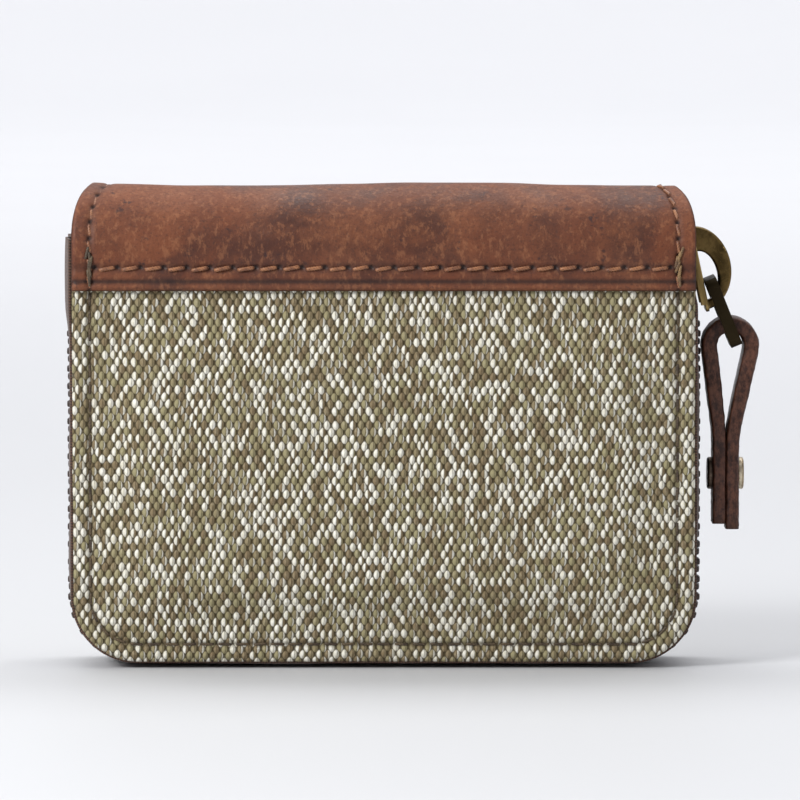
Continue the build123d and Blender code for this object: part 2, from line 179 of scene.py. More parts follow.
def sweep(path, side, up, half_side, half_up, power=2.0, around=16):
    """Tube of rounded cross-section along a path; side and up are unit vectors per path point."""
    turn = np.linspace(0, 2 * pi, around, endpoint=False)
    c, s = np.cos(turn), np.sin(turn)
    across = np.sign(c) * np.abs(c) ** (2 / power)
    above = np.sign(s) * np.abs(s) ** (2 / power)
    offset = (
        side[:, None, :] * (across[None, :] * np.reshape(half_side, (-1, 1)))[..., None]
        + up[:, None, :] * (above[None, :] * np.reshape(half_up, (-1, 1)))[..., None]
    )
    return path[:, None, :] + offset


def join_tubes(name, grids, material):
    """One object from many grids, each closed across its columns and capped at both ends."""
    vertices, faces, start = [], [], 0
    for points in grids:
        rows, cols = points.shape[:2]
        vertices.append(points.reshape(-1, 3))
        faces.extend((grid_faces(rows, cols, ring=True) + start).tolist())
        faces.append([start + k for k in range(cols)][::-1])
        faces.append([start + (rows - 1) * cols + k for k in range(cols)])
        start += rows * cols
    return make_object(name, np.concatenate(vertices), faces, material)


# ---- material tools ----
class Graph:
    """A new material and short ways to add nodes to it."""

    def __init__(self, name):
        self.material = bpy.data.materials.new(name)
        self.material.use_nodes = True
        self.tree = self.material.node_tree
        self.shader = self.tree.nodes["Principled BSDF"]
        self.place = self.add("ShaderNodeTexCoord").outputs["Object"]

    def add(self, kind, inputs=(), **settings):
        node = self.tree.nodes.new(kind)
        for key, value in settings.items():
            setattr(node, key, value)
        for key, value in dict(inputs).items():
            self.put(node.inputs[key], value)
        return node

    def put(self, socket, value):
        if isinstance(value, bpy.types.NodeSocket):
            self.tree.links.new(value, socket)
        elif hasattr(value, "__len__") and len(value) == 3 and socket.type == "RGBA":
            socket.default_value = (*value, 1)
        else:
            socket.default_value = value

    def math(self, operation, a, b=0.0, clamp=False):
        return self.add("ShaderNodeMath", {0: a, 1: b}, operation=operation, use_clamp=clamp).outputs[0]

    def plus(self, a, b):
        return self.math("ADD", a, b)

    def minus(self, a, b):
        return self.math("SUBTRACT", a, b)

    def times(self, a, b):
        return self.math("MULTIPLY", a, b)

    def mix(self, share, a, b):
        return self.add("ShaderNodeMix", {0: share, 6: a, 7: b}, data_type="RGBA").outputs[2]

    def blend_value(self, share, a, b):
        node = self.add("ShaderNodeMix", {0: share, 2: a, 3: b}, data_type="FLOAT")
        return node.outputs[0]

    def noise(self, scale, detail=3.0, roughness=0.55, at=None, stretch=None, distortion=0.0):
        at = self.place if at is None else at
        if stretch:
            at = self.add("ShaderNodeMapping", {"Vector": at, "Scale": stretch}).outputs[0]
        settings = {"Vector": at, "Scale": scale, "Detail": detail, "Roughness": roughness}
        settings["Distortion"] = distortion
        return self.add("ShaderNodeTexNoise", settings).outputs["Fac"]

    def cells(self, scale):
        return self.add("ShaderNodeTexVoronoi", {"Vector": self.place, "Scale": scale}).outputs[0]

    def span(self, value, low, high, to_low=0.0, to_high=1.0):
        settings = {0: value, 1: low, 2: high, 3: to_low, 4: to_high}
        return self.add("ShaderNodeMapRange", settings, interpolation_type="SMOOTHSTEP").outputs[0]

    def attribute(self, name):
        return self.add("ShaderNodeAttribute", attribute_name=name).outputs["Fac"]

    def bump(self, height, depth, strength=1.0, after=None):
        settings = {"Height": height, "Distance": depth, "Strength": strength}
        if after is not None:
            settings["Normal"] = after
        return self.add("ShaderNodeBump", settings).outputs[0]

    def finish(self, colour, roughness, normal=None, **extra):
        self.put(self.shader.inputs["Base Color"], colour)
        self.put(self.shader.inputs["Roughness"], roughness)
        if normal is not None:
            self.put(self.shader.inputs["Normal"], normal)
        for key, value in extra.items():
            self.put(self.shader.inputs[key.replace("_", " ")], value)
        return self.material


def nub_lattice(g, u, v, shift):
    """One of the weave's two interlocked sets of nubs: place in the nub, its reach and its number."""
    across = g.plus(u, shift)
    up = g.plus(g.times(v, 0.5), shift)
    column, row = g.math("FLOOR", across), g.math("FLOOR", up)
    fx = g.minus(g.minus(across, column), 0.5)
    fz = g.times(g.minus(g.minus(up, row), 0.5), 2.0)
    wide = g.math("POWER", g.math("DIVIDE", g.math("ABSOLUTE", fx), NUB_HALF_U), NUB_POWER)
    tall = g.math("POWER", g.math("DIVIDE", g.math("ABSOLUTE", fz), NUB_HALF_V), NUB_POWER)
    number = g.add("ShaderNodeCombineXYZ", {0: column, 1: row, 2: shift}).outputs[0]
    return g.plus(wide, tall), fx, fz, number


def canvas_material():
    """Coarse canvas of interlocked oval nubs, each of a wide and a narrow strand, olive or cream."""
    g = Graph("canvas_weave")
    u, v = g.attribute("weave_u"), g.attribute("weave_v")
    reach_a, fx_a, fz_a, number_a = nub_lattice(g, u, v, 0.0)
    reach_b, fx_b, fz_b, number_b = nub_lattice(g, u, v, 0.5)
    pick_b = g.math("LESS_THAN", reach_b, reach_a)
    reach = g.math("MINIMUM", reach_a, reach_b)
    fx = g.blend_value(pick_b, fx_a, fx_b)
    fz = g.blend_value(pick_b, fz_a, fz_b)
    number = g.mix(pick_b, number_a, number_b)
    chance = g.add("ShaderNodeTexWhiteNoise", {"Vector": number}, noise_dimensions="3D")
    jitter = g.times(g.minus(chance.outputs[0], 0.5), 0.20)
    narrowing = g.math("POWER", g.math("DIVIDE", g.math("ABSOLUTE", fz), NUB_HALF_V), 2.0)
    belly = g.math("SQRT", g.math("MAXIMUM", g.minus(1.0, narrowing), 0.12))
    lean = g.times(fz, 0.05)
    strand_at = g.minus(g.math("DIVIDE", fx, belly), g.plus(jitter, lean))
    past_split = g.minus(strand_at, 0.13)
    strand = g.math("GREATER_THAN", past_split, 0.0)
    step_up = g.add("ShaderNodeCombineXYZ", {2: g.plus(strand, 3.0)}).outputs[0]
    strand_id = g.add("ShaderNodeVectorMath", {0: number, 1: step_up}, operation="ADD")
    draw = g.add("ShaderNodeTexWhiteNoise", {"Vector": strand_id.outputs[0]}, noise_dimensions="3D")
    drift = g.minus(g.noise(0.16, 3, 0.6, at=number, distortion=0.4), 0.5)
    limit = g.plus(0.40, g.times(drift, 0.6))
    cream = g.math("LESS_THAN", draw.outputs[0], limit)
    fibre = g.noise(2600, 3, 0.65, stretch=(1.0, 1.0, 0.32))
    olive = g.mix(g.span(chance.outputs[0], 0.15, 0.85), (0.235, 0.175, 0.098), (0.330, 0.292, 0.160))
    olive = g.mix(g.span(fibre, 0.45, 0.75, 0.0, 0.5), olive, (0.52, 0.46, 0.31))
    pale = g.mix(g.span(fibre, 0.3, 0.7), (0.70, 0.66, 0.52), (0.95, 0.93, 0.84))
    colour = g.mix(cream, olive, pale)
    # painted shade: the gaps and borders between nubs and the split between strands are darkened towards
    # near-black olive
    gap = g.span(reach, 0.52, 0.98)
    split = g.span(g.math("ABSOLUTE", past_split), 0.0, 0.07, 1.0, 0.0)
    meeting = g.math("ABSOLUTE", g.minus(reach_a, reach_b))
    border = g.span(meeting, 0.0, 0.30, 0.78, 0.0)
    shade = g.math("MAXIMUM", g.math("MAXIMUM", gap, border), g.times(split, 0.50))
    colour = g.mix(g.times(shade, 0.90), colour, (0.052, 0.038, 0.015))
    soil = g.span(g.noise(38, 3), 0.35, 0.75, 0.0, 0.12)
    colour = g.mix(soil, colour, (0.20, 0.16, 0.09))
    # painted shade along the sunk seam groove and over the turned edge, from the seam attribute
    colour = g.mix(g.times(g.attribute("seam"), 0.55), colour, (0.070, 0.050, 0.026))
    height = g.minus(1.0, g.math("MINIMUM", reach, 1.3))
    height = g.minus(height, g.times(split, 0.30))
    height = g.plus(height, g.times(fibre, 0.30))
    normal = g.bump(height, 0.34 * MM, 1.0)
    return g.finish(colour, 0.88, normal, Sheen_Weight=0.06, Sheen_Roughness=0.5, Specular_IOR_Level=0.2)


def leather_material(name, tone):
    """Waxed pull-up leather: mottled red-brown, dark scratches, fine grain, painted shade in its creases,
    and a painted highlight, partly pull-up lightening, on its bends and edges.
    """
    g = Graph(name)
    dark_brown, red_brown, pore_brown, lit_brown, pull_up_and_highlight_brown, streak_brown = tone * np.array(
        [
            (0.062, 0.021, 0.014),
            (0.168, 0.048, 0.019),
            (0.055, 0.021, 0.015),
            (0.290, 0.098, 0.040),
            (0.360, 0.150, 0.070),
            (0.350, 0.140, 0.062),
        ]
    )
    cloudy = g.noise(34, 4, 0.6, distortion=0.8)
    patch = g.noise(120, 5, 0.62, distortion=0.4)
    drawn = g.noise(190, 6, 0.72, stretch=(0.5, 1.0, 1.0), distortion=0.5)
    base = g.mix(g.span(cloudy, 0.34, 0.66), dark_brown, red_brown)
    lit = g.span(g.plus(g.times(patch, 0.6), g.times(drawn, 0.4)), 0.42, 0.68)
    base = g.mix(g.times(lit, 0.50), base, lit_brown)
    # painted highlight, partly pull-up lightening, where the mesh marks it
    base = g.mix(g.times(g.attribute("pull_up_and_highlight"), 0.22), base, pull_up_and_highlight_brown)
    grain = g.cells(1500)
    pores = g.noise(1900, 4, 0.7)
    streaks = g.noise(950, 5, 0.72, stretch=(1.0, 1.0, 0.55), distortion=0.15)
    base = g.mix(g.span(pores, 0.48, 0.68, 0.0, 0.50), base, pore_brown)
    base = g.mix(g.span(streaks, 0.50, 0.64, 0.0, 0.42), base, streak_brown)
    marks = g.times(g.span(g.noise(260, 2, 0.5), 0.60, 0.70), g.span(g.noise(900, 3), 0.50, 0.62))
    base = g.mix(g.times(marks, 0.75), base, (0.030, 0.015, 0.016))
    # painted shade in creases, stitch holes and seam grooves, dark edge paint, and on the strap darker
    # towards its tail, from the dark attribute
    base = g.mix(g.attribute("dark"), base, (0.022, 0.010, 0.008))
    fibres = g.span(g.noise(1100, 5, 0.75, stretch=(1.0, 1.0, 0.6)), 0.36, 0.66)
    base = g.mix(g.attribute("raw"), base, g.mix(fibres, (0.022, 0.008, 0.006), (0.150, 0.060, 0.036)))
    height = g.plus(g.times(grain, 0.6), g.times(pores, 0.8))
    normal = g.bump(height, 0.10 * MM, 0.55)
    normal = g.bump(g.noise(240, 5, 0.6), 0.35 * MM, 0.45, after=normal)
    rough = g.span(g.plus(cloudy, g.times(pores, 0.5)), 0.45, 1.0, 0.36, 0.66)
    return g.finish(base, rough, normal, Specular_IOR_Level=0.32)


def thread_material(name, light, dark, roughness=0.5):
    """Twisted thread; the plies themselves are in the mesh."""
    g = Graph(name)
    tone = g.noise(500, 3, 0.6)
    fibre = g.noise(5200, 3, 0.7)
    colour = g.mix(g.span(tone, 0.35, 0.65), dark, light)
    colour = g.mix(g.span(fibre, 0.5, 0.8, 0.0, 0.5), colour, [min(1.0, 1.7 * v) for v in light])
    # painted shade in the grooves between the plies
    colour = g.mix(g.times(g.attribute("groove"), 0.8), colour, [0.25 * v for v in dark])
    return g.finish(colour, roughness, g.bump(fibre, 0.04 * MM, 0.5), Sheen_Weight=0.1)


def tape_material():
    """Brown woven zip tape with a herringbone rib."""
    g = Graph("zip_tape_weave")
    run = g.attribute("run")
    depth = g.attribute("depth")
    zig = g.math("ABSOLUTE", g.minus(g.math("FRACT", g.math("DIVIDE", depth, 1.5)), 0.5))
    rib = g.math("FRACT", g.plus(g.times(run, 1.9), g.times(zig, 2.4)))
    rib = g.math("ABSOLUTE", g.minus(rib, 0.5))
    fibre = g.noise(3000, 3, 0.6)
    tone = g.span(g.noise(90, 3), 0.35, 0.65)
    colour = g.mix(tone, (0.075, 0.034, 0.021), (0.125, 0.058, 0.034))
    # painted shade in the troughs between the ribs
    colour = g.mix(g.span(rib, 0.10, 0.42), (0.016, 0.008, 0.006), colour)
    colour = g.mix(g.times(fibre, 0.30), colour, (0.16, 0.085, 0.05))
    normal = g.bump(g.plus(rib, g.times(fibre, 0.3)), 0.16 * MM, 0.9)
    return g.finish(colour, 0.78, normal, Sheen_Weight=0.25)


def teeth_material():
    """Dark brown moulded plastic with a satin, slightly scuffed surface."""
    g = Graph("zip_teeth_plastic")
    scuff = g.noise(1600, 4, 0.7)
    colour = g.mix(g.span(g.noise(220, 3), 0.3, 0.7), (0.020, 0.010, 0.008), (0.042, 0.021, 0.014))
    colour = g.mix(g.span(scuff, 0.58, 0.75, 0.0, 0.35), colour, (0.12, 0.075, 0.05))
    rough = g.span(scuff, 0.3, 0.7, 0.32, 0.55)
    return g.finish(colour, rough, g.bump(scuff, 0.04 * MM, 0.4))


def metal_material(name, dark, middle, bright, worn=1.0, dull=0.0):
    """Antique metal: patina in the hollows, rubbed bright on the edges, fine scratches."""
    g = Graph(name)
    edge = g.add("ShaderNodeNewGeometry").outputs["Pointiness"]
    cloud = g.noise(420, 5, 0.65, distortion=0.6)
    speck = g.noise(2600, 4, 0.7)
    scratch = g.noise(1500, 3, 0.6, stretch=(0.15, 1.0, 1.0))
    colour = g.mix(g.span(cloud, 0.38, 0.64), dark, middle)
    rubbed = g.math("ADD", g.span(edge, 0.505, 0.56), g.span(speck, 0.62, 0.80, 0.0, 0.35), clamp=True)
    colour = g.mix(g.times(rubbed, worn), colour, bright)
    colour = g.mix(g.span(scratch, 0.66, 0.74, 0.0, 0.4), colour, bright)
    rough = g.span(cloud, 0.3, 0.7, 0.26 + dull, 0.50 + dull)
    normal = g.bump(g.plus(cloud, g.times(speck, 0.4)), 0.05 * MM, 0.6)
    return g.finish(colour, rough, normal, Metallic=1.0)


def cloth_material(name, base, light, threads=2.2):
    """Plain woven cloth; threads is how many there are to the millimetre."""
    g = Graph(name)
    x, _, z = g.add("ShaderNodeSeparateXYZ", {0: g.place}).outputs
    warp = g.math("SINE", g.times(x, threads * 2 * pi / MM))
    weft = g.math("SINE", g.times(z, threads * 2 * pi / MM))
    weave = g.times(warp, weft)
    fibre = g.noise(2400, 3, 0.65)
    colour = g.mix(g.span(g.noise(70, 4), 0.3, 0.7), base, light)
    colour = g.mix(g.span(weave, -1.0, 1.0, 0.0, 0.35), colour, [0.45 * v for v in base])
    colour = g.mix(g.times(fibre, 0.25), colour, [min(1.0, 1.5 * v) for v in light])
    height = g.plus(weave, fibre)
    return g.finish(colour, 0.85, g.bump(height, 0.10 * MM, 0.6), Sheen_Weight=0.15)


canvas_look = canvas_material()
leather_look = leather_material("waxed_leather", 0.92)
strap_look = leather_material("waxed_leather_strap", 0.42)
copper_thread = thread_material("thread_copper", (0.36, 0.150, 0.062), (0.17, 0.062, 0.028), 0.42)
brown_thread = thread_material("thread_brown", (0.120, 0.082, 0.042), (0.045, 0.028, 0.016))
gold_thread = thread_material("thread_gold", (0.30, 0.180, 0.070), (0.12, 0.062, 0.028))
tape_look = tape_material()
teeth_look = teeth_material()
brass_look = metal_material(
    "brass_antique", (0.055, 0.035, 0.012), (0.145, 0.093, 0.034), (0.52, 0.37, 0.15)
)
link_look = metal_material(
    "brass_dark", (0.008, 0.006, 0.004), (0.018, 0.013, 0.008), (0.09, 0.065, 0.03), worn=0.4, dull=0.2
)
rivet_dark_look = metal_material(
    "rivet_dark", (0.022, 0.015, 0.013), (0.050, 0.034, 0.028), (0.20, 0.15, 0.11), worn=0.6
)
# painted highlight: a pale, lit copy of the rivet's dark metal, for the tube cap
rivet_highlight_look = metal_material("rivet_pale", (0.20, 0.14, 0.08), (0.42, 0.33, 0.21), (0.75, 0.66, 0.50))
lining_look = cloth_material("lining_twill", (0.150, 0.088, 0.045), (0.21, 0.13, 0.070))
pocket_look = cloth_material("pocket_cloth", (0.190, 0.120, 0.066), (0.26, 0.175, 0.100), 1.8)
core_look = cloth_material("padding_cloth", (0.095, 0.066, 0.038), (0.150, 0.108, 0.066), 1.4)


# ---- canvas covers ----
def edge_distance(x, z):
    """Distance inwards from a cover's outline, whose top is open."""
    qx = np.abs(x) - (HALF - CORNER_R)
    qz = (LOW + CORNER_R) - z
    corner = CORNER_R - np.hypot(np.maximum(qx, 0), np.maximum(qz, 0))
    straight = np.minimum(HALF - np.abs(x), z - LOW)
    return np.where((qx > 0) & (qz > 0), corner, straight)


def half_width(z):
    """Half the covers' width at a height, round the lower corners."""
    below = np.clip(LOW + CORNER_R - z, 0, CORNER_R)
    return HALF - CORNER_R + np.sqrt(CORNER_R**2 - below**2)


PAD_HALF_THICK, MOST_PUFF, PUFF_FRAMES = 1.4 * MM, 2.2 * MM, 20


def puffed_pad():
    """Cloth simulation of one padded cover; its puffed face shapes the woven canvas over it."""
    top = SPINE_Z - 1 * MM
    inset = 5 * MM
    mesh = bpy.data.meshes.new("pad")
    shape = bmesh.new()
    bmesh.ops.create_cube(shape, size=1)
    for vertex in shape.verts:
        vertex.co.x *= 2 * (HALF - inset)
        vertex.co.y *= 2 * PAD_HALF_THICK
        vertex.co.z = LOW + inset if vertex.co.z < 0 else top
    shape.to_mesh(mesh)
    shape.free()
    pad = bpy.data.objects.new("pad", mesh)
    bpy.context.collection.objects.link(pad)
    remesh = pad.modifiers.new("remesh", "REMESH")
    remesh.mode, remesh.voxel_size = "VOXEL", 2.6 * MM
    apply_modifiers(pad)
    start = np.array([v.co[:] for v in pad.data.vertices])
    cloth = pad.modifiers.new("cloth", "CLOTH")
    cloth.settings.use_pressure = True
    cloth.settings.uniform_pressure_force = 4.0
    cloth.settings.quality = 6
    cloth.settings.effector_weights.gravity = 0.0
    cloth.point_cache.frame_start, cloth.point_cache.frame_end = 1, PUFF_FRAMES
    for frame_number in range(1, PUFF_FRAMES + 1):
        bpy.context.scene.frame_set(frame_number)
    apply_modifiers(pad)
    moved = np.array([v.co[:] for v in pad.data.vertices])
    swell = np.clip(moved - start, -MOST_PUFF, MOST_PUFF)
    pad.data.vertices.foreach_set("co", (start + swell).ravel())
    tree = BVHTree.FromObject(pad, bpy.context.evaluated_depsgraph_get())
    bpy.data.objects.remove(pad)
    bpy.context.scene.frame_set(1)
    return tree


def pad_height(tree, x, z):
    """How far the simulated pad's face stands out on a coarse grid, smoothed, then read at x and z."""
    cols, rows = 47, 33
    xs = np.linspace(-HALF, HALF, cols)
    zs = np.linspace(LOW, SPINE_Z, rows)
    heights = np.zeros((rows, cols))
    for r, level in enumerate(zs):
        for c, across in enumerate(xs):
            hit = tree.ray_cast(Vector((across, -0.05, level)), Vector((0, 1, 0)))[0]
            heights[r, c] = -hit.y if hit else 0.0
    for _ in range(3):
        padded = np.pad(heights, 1, mode="edge")
        heights = (padded[:-2, 1:-1] + padded[2:, 1:-1] + padded[1:-1, :-2] + padded[1:-1, 2:]) / 4
    fx = np.clip((x + HALF) / (2 * HALF) * (cols - 1), 0, cols - 1.001)
    fz = np.clip((z - LOW) / (SPINE_Z - LOW) * (rows - 1), 0, rows - 1.001)
    c, r = fx.astype(int), fz.astype(int)
    u, v = fx - c, fz - r
    low = heights[r, c] * (1 - u) + heights[r, c + 1] * u
    high = heights[r + 1, c] * (1 - u) + heights[r + 1, c + 1] * u
    return low * (1 - v) + high * v


def weave_at(x, z, seed):
    """Place in the weave, in nubs across and rows up, with the slight wander of real threads."""
    u = x / WEAVE_X + 0.22 * waves(x, z, 31 * MM, seed + 50) + 0.07 * waves(x, z, 6 * MM, seed + 51)
    v = z / WEAVE_Z + 0.20 * waves(x, z, 37 * MM, seed + 52) + 0.07 * waves(x, z, 7 * MM, seed + 53)
    return u, v


def nub_height(u, v):
    """Relief of the interlocked oval nubs of the weave, 0 to 1."""
    hump = np.zeros_like(u)
    for shift in (0.0, 0.5):
        fx = np.abs((u + shift) % 1 - 0.5)
        fz = np.abs((v / 2 + shift) % 1 - 0.5) * 2
        hump = np.maximum(hump, 1 - (fx / NUB_HALF_U) ** NUB_POWER - (fz / NUB_HALF_V) ** NUB_POWER)
    return np.sqrt(hump)


def cover_relief(x, z, seed, pad):
    """How far the canvas stands out from flat, with its seam's groove and the distance to its edge."""
    d = edge_distance(x, z)
    roll = 2.0 * MM
    edge = np.clip(roll - d, 0, roll)
    rolled = roll - np.sqrt(np.maximum(roll**2 - edge**2, 0))
    groove = bell(d - SEAM_INSET, 0.50 * MM)
    pull = bell(d - SEAM_INSET, 2.2 * MM)
    out = -0.62 * rolled - 0.55 * MM * groove - 0.35 * MM * pull
    out = out + 0.16 * MM * waves(x, z, 26 * MM, seed) + 0.07 * MM * waves(x, z, 7 * MM, seed + 1)
    if pad is not None:
        puff = pad_height(pad, x, z)
        under_leather = 1 - smooth_step(z, BAND_BOTTOM - 15 * MM, BAND_BOTTOM - 0.5 * MM)
        swell = np.clip(puff - PAD_HALF_THICK, 0, MOST_PUFF)
        out = out + swell * smooth_step(d, 2 * MM, 14 * MM) * under_leather
    return out, groove, d


def canvas_cover(side, name, pad):
    """Woven cover with puffed middle, sewn channel and rolled edge; side is -1 front, 1 back."""
    top = SPINE_Z - 0.6 * MM
    step = 0.31 * MM
    arc = LOW + CORNER_R * (1 - np.cos(np.linspace(0, pi / 2, 52)))
    levels = np.concatenate([arc, np.arange(arc[-1] + step, top, step)])
    spread = np.linspace(-1, 1, int(2 * HALF / step))
    z = np.repeat(levels[:, None], len(spread), 1)
    x = spread[None, :] * half_width(z)
    out, groove, _ = cover_relief(x, z, COVER_SEED + side, pad)
    u, v = weave_at(x, z, COVER_SEED + side)
    nubs = nub_height(u, v) * (1 - 0.6 * groove)
    y = side * (FACE - 0.15 * MM + out + 0.17 * MM * nubs)
    points = np.stack([x, y, z], -1)
    cover = grid_object(f"{name}_canvas_cover", points, canvas_look, flip=side > 0)
    rim_rows = turned_edge(points, side)
    rim = grid_object(f"{name}_canvas_turned_edge", rim_rows, canvas_look, flip=side > 0)
    # the seam attribute carries painted shade in the sunk groove
    add_float(cover, "seam", groove**2)
    add_float(cover, "weave_u", u)
    add_float(cover, "weave_v", v)
    rim_u, rim_v = weave_at(rim_rows[..., 0], rim_rows[..., 2], COVER_SEED + side)
    # painted shade, even over the whole turned edge
    add_float(rim, "seam", np.full(rim_rows.shape[:2], 0.35))
    add_float(rim, "weave_u", rim_u + np.abs(rim_rows[..., 1] - rim_rows[:1, :, 1]) / WEAVE_X)
    add_float(rim, "weave_v", rim_v)
    return cover, rim


def turned_edge(points, side):
    """The canvas edge turned inwards over the tape, as a strip that starts at the cover's outline."""
    outline = np.concatenate([points[::-1, 0], points[0, 1:-1], points[:, -1]])[::2]
    x, z = outline[:, 0], outline[:, 2]
    centre_x = np.clip(x, CORNER_R - HALF, HALF - CORNER_R)
    centre_z = np.maximum(z, LOW + CORNER_R)
    inward = np.stack([centre_x - x, 0 * x, centre_z - z], -1)
    inward /= np.linalg.norm(inward, axis=1, keepdims=True)
    rows = [outline]
    for depth, inset in ((0.35, 0.03), (0.8, 0.12), (1.15, 0.5), (1.2, 1.2), (1.2, 4.2)):
        row = outline + inward * inset * MM
        row[:, 1] = outline[:, 1] - side * depth * MM
        rows.append(row)
    return np.stack(rows)


pad = puffed_pad()
for side, name in SIDES:
    cover, rim = canvas_cover(side, name, pad)
    stand_for(cover, f"{name}_cover", "canvas", f"{name}_canvas_panel")
    stand_for(rim, f"{name}_cover", "canvas")


# ---- leather over the spine ----
FLAT = SPINE_Z - BAND_BOTTOM
SECTION_LENGTH = 2 * FLAT + pi * BAND_R


def section(along, radius):
    """Point (y, z) and outward direction of the spine's section at a distance from the front edge."""
    turn = np.clip((along - FLAT) / BAND_R, 0, pi)
    drop = np.maximum(FLAT - along, 0) + np.maximum(along - FLAT - pi * BAND_R, 0)
    out_y, out_z = -np.cos(turn), np.sin(turn)
    return out_y * radius, SPINE_Z - drop + out_z * radius, out_y, out_z


def end_x(z, inset=0.0):
    """Half the leather's width at a height: its ends draw in towards the ridge."""
    rise = np.clip((z - (RIDGE - RIDGE_CORNER_Z)) / RIDGE_CORNER_Z, 0, 1)
    return HALF - inset - RIDGE_CORNER_X * (1 - np.sqrt(np.maximum(1 - rise**2, 0)))


BAND_COUNT = 25
BAND_RUN = 2 * (HALF - SEAM_INSET) - 2.4 * MM
band_places = BAND_RUN * ((np.arange(BAND_COUNT) + 0.5) / BAND_COUNT - 0.5)
band_holes = BAND_RUN * (np.arange(BAND_COUNT + 1) / BAND_COUNT - 0.5)
EDGE_COUNT = 16
edge_holes = np.arange(EDGE_COUNT + 1) * SECTION_LENGTH / EDGE_COUNT


def leather_band():
    """Thick leather over the spine, drawn down by its seams, with a creased lower edge; painted shade in its
    crease, holes and seams, and a painted highlight, partly pull-up lightening, over its top and along its
    lower edge.
    """
    rows, cols = 190, 380
    along, share = np.meshgrid(
        np.linspace(0, SECTION_LENGTH, rows), np.linspace(-1, 1, cols), indexing="ij"
    )
    _, z, _, _ = section(along, BAND_R)
    x = share * end_x(z)
    d_end = end_x(z) - np.abs(x)
    d_edge = np.minimum(along, SECTION_LENGTH - along)
    d = np.minimum(d_end, d_edge)
    rise = BAND_SEAM_Z - BAND_BOTTOM
    seam = bell(d_edge - rise, 0.8 * MM)
    pull = bell(d_edge - rise, 2.6 * MM)
    crease = bell(d_edge - 1.75 * MM, 0.42 * MM)
    end_seam = bell(d_end - SEAM_INSET, 0.75 * MM)
    hole_x = np.abs(x[..., None] - (band_holes - 0.2 * MM)).min(-1)
    holes = bell(hole_x, 0.42 * MM) * bell(d_edge - rise - 0.25 * MM, 0.36 * MM)
    hole_s = np.abs(along[..., None] - edge_holes).min(-1)
    end_holes = bell(hole_s, 0.40 * MM) * bell(d_end - SEAM_INSET, 0.34 * MM)
    pits = np.maximum(holes, end_holes)
    lip = np.clip(0.55 * MM - d, 0, None)
    wave = waves(x, along, 30 * MM, 3) * 0.20 + waves(x, along, 9 * MM, 4) * 0.06
    relief = wave * MM * smooth_step(d, 0, 5 * MM)
    relief -= (0.26 * seam + 0.22 * pull + 0.34 * crease + 0.24 * end_seam + 0.50 * pits) * MM
    relief -= 0.9 * lip
    relief += 0.10 * MM * bell(d_edge - 0.8 * MM, 0.5 * MM)
    y, z, _, _ = section(along, BAND_R + relief)
    sag = 0.35 * MM * np.sin(share * pi * 1.5 + 0.6) * smooth_step(along, FLAT, SECTION_LENGTH / 2)
    sag *= smooth_step(SECTION_LENGTH - along, FLAT, SECTION_LENGTH / 2)
    outer = np.stack([x, y, z + sag], -1)
    band = grid_object("spine_band", outer, leather_look)
    # painted highlight, partly pull-up lightening: lightest on top of the spine, where it faces up, and in a
    # strip along the lower edge
    bent = np.sin(np.clip((along - FLAT) / BAND_R, 0, pi)) ** 2
    pull_up_and_highlight = np.clip(bent * (0.55 + 0.45 * waves(x, along, 18 * MM, 5)), 0, 1) * 0.8
    pull_up_and_highlight += 0.35 * (1 - crease) * bell(d_edge - 0.7 * MM, 0.5 * MM)
    # painted shade in the crease, stitch holes and seam grooves; the next line adds dark edge paint along
    # the outline
    dark = np.clip(0.85 * crease + 1.2 * pits + 0.42 * seam + 0.35 * end_seam, 0, 1)
    dark = np.maximum(dark, 0.75 * smooth_step(-d, -0.30 * MM, -0.05 * MM))
    add_float(band, "pull_up_and_highlight", np.clip(pull_up_and_highlight, 0, 1))
    add_float(band, "dark", dark)
    add_float(band, "raw", np.zeros(rows * cols))
    return solidify(band, 1.15 * MM, -1)


def spine_layer(name, radius, thick, inset, bottom, material):
    """A layer inside the leather that bends with the spine and runs down both covers."""
    flat = SPINE_Z - bottom
    arc = pi * radius
    along = np.concatenate([
        np.linspace(0, flat, 24, endpoint=False),
        flat + np.linspace(0, arc, 40),
        flat + arc + np.linspace(0, flat, 25)[1:],
    ])
    turn = np.clip((along - flat) / radius, 0, pi)
    drop = np.maximum(flat - along, 0) + np.maximum(along - flat - arc, 0)
    share = np.linspace(-1, 1, 70)
    z = (SPINE_Z - drop + np.sin(turn) * radius)[:, None] * np.ones(70)
    y = (-np.cos(turn) * radius)[:, None] * np.ones(70)
    x = share[None, :] * np.minimum(end_x(z, inset), half_width(z - inset) - inset)
    on_flat = (turn == 0) | (turn == pi)
    y = y + np.sign(y) * 0.10 * MM * waves(x, z, 17 * MM, 9) * on_flat[:, None]
    return solidify(grid_object(name, np.stack([x, y, z], -1), material), thick, -1)


band = leather_band()
core = spine_layer("spine_padding", FACE - 0.2 * MM, 2.0 * MM, 1.0 * MM, BAND_BOTTOM, core_look)
lining = spine_layer("spine_lining", LINING_R, 0.4 * MM, 3.9 * MM, LOW + 5 * MM, lining_look)


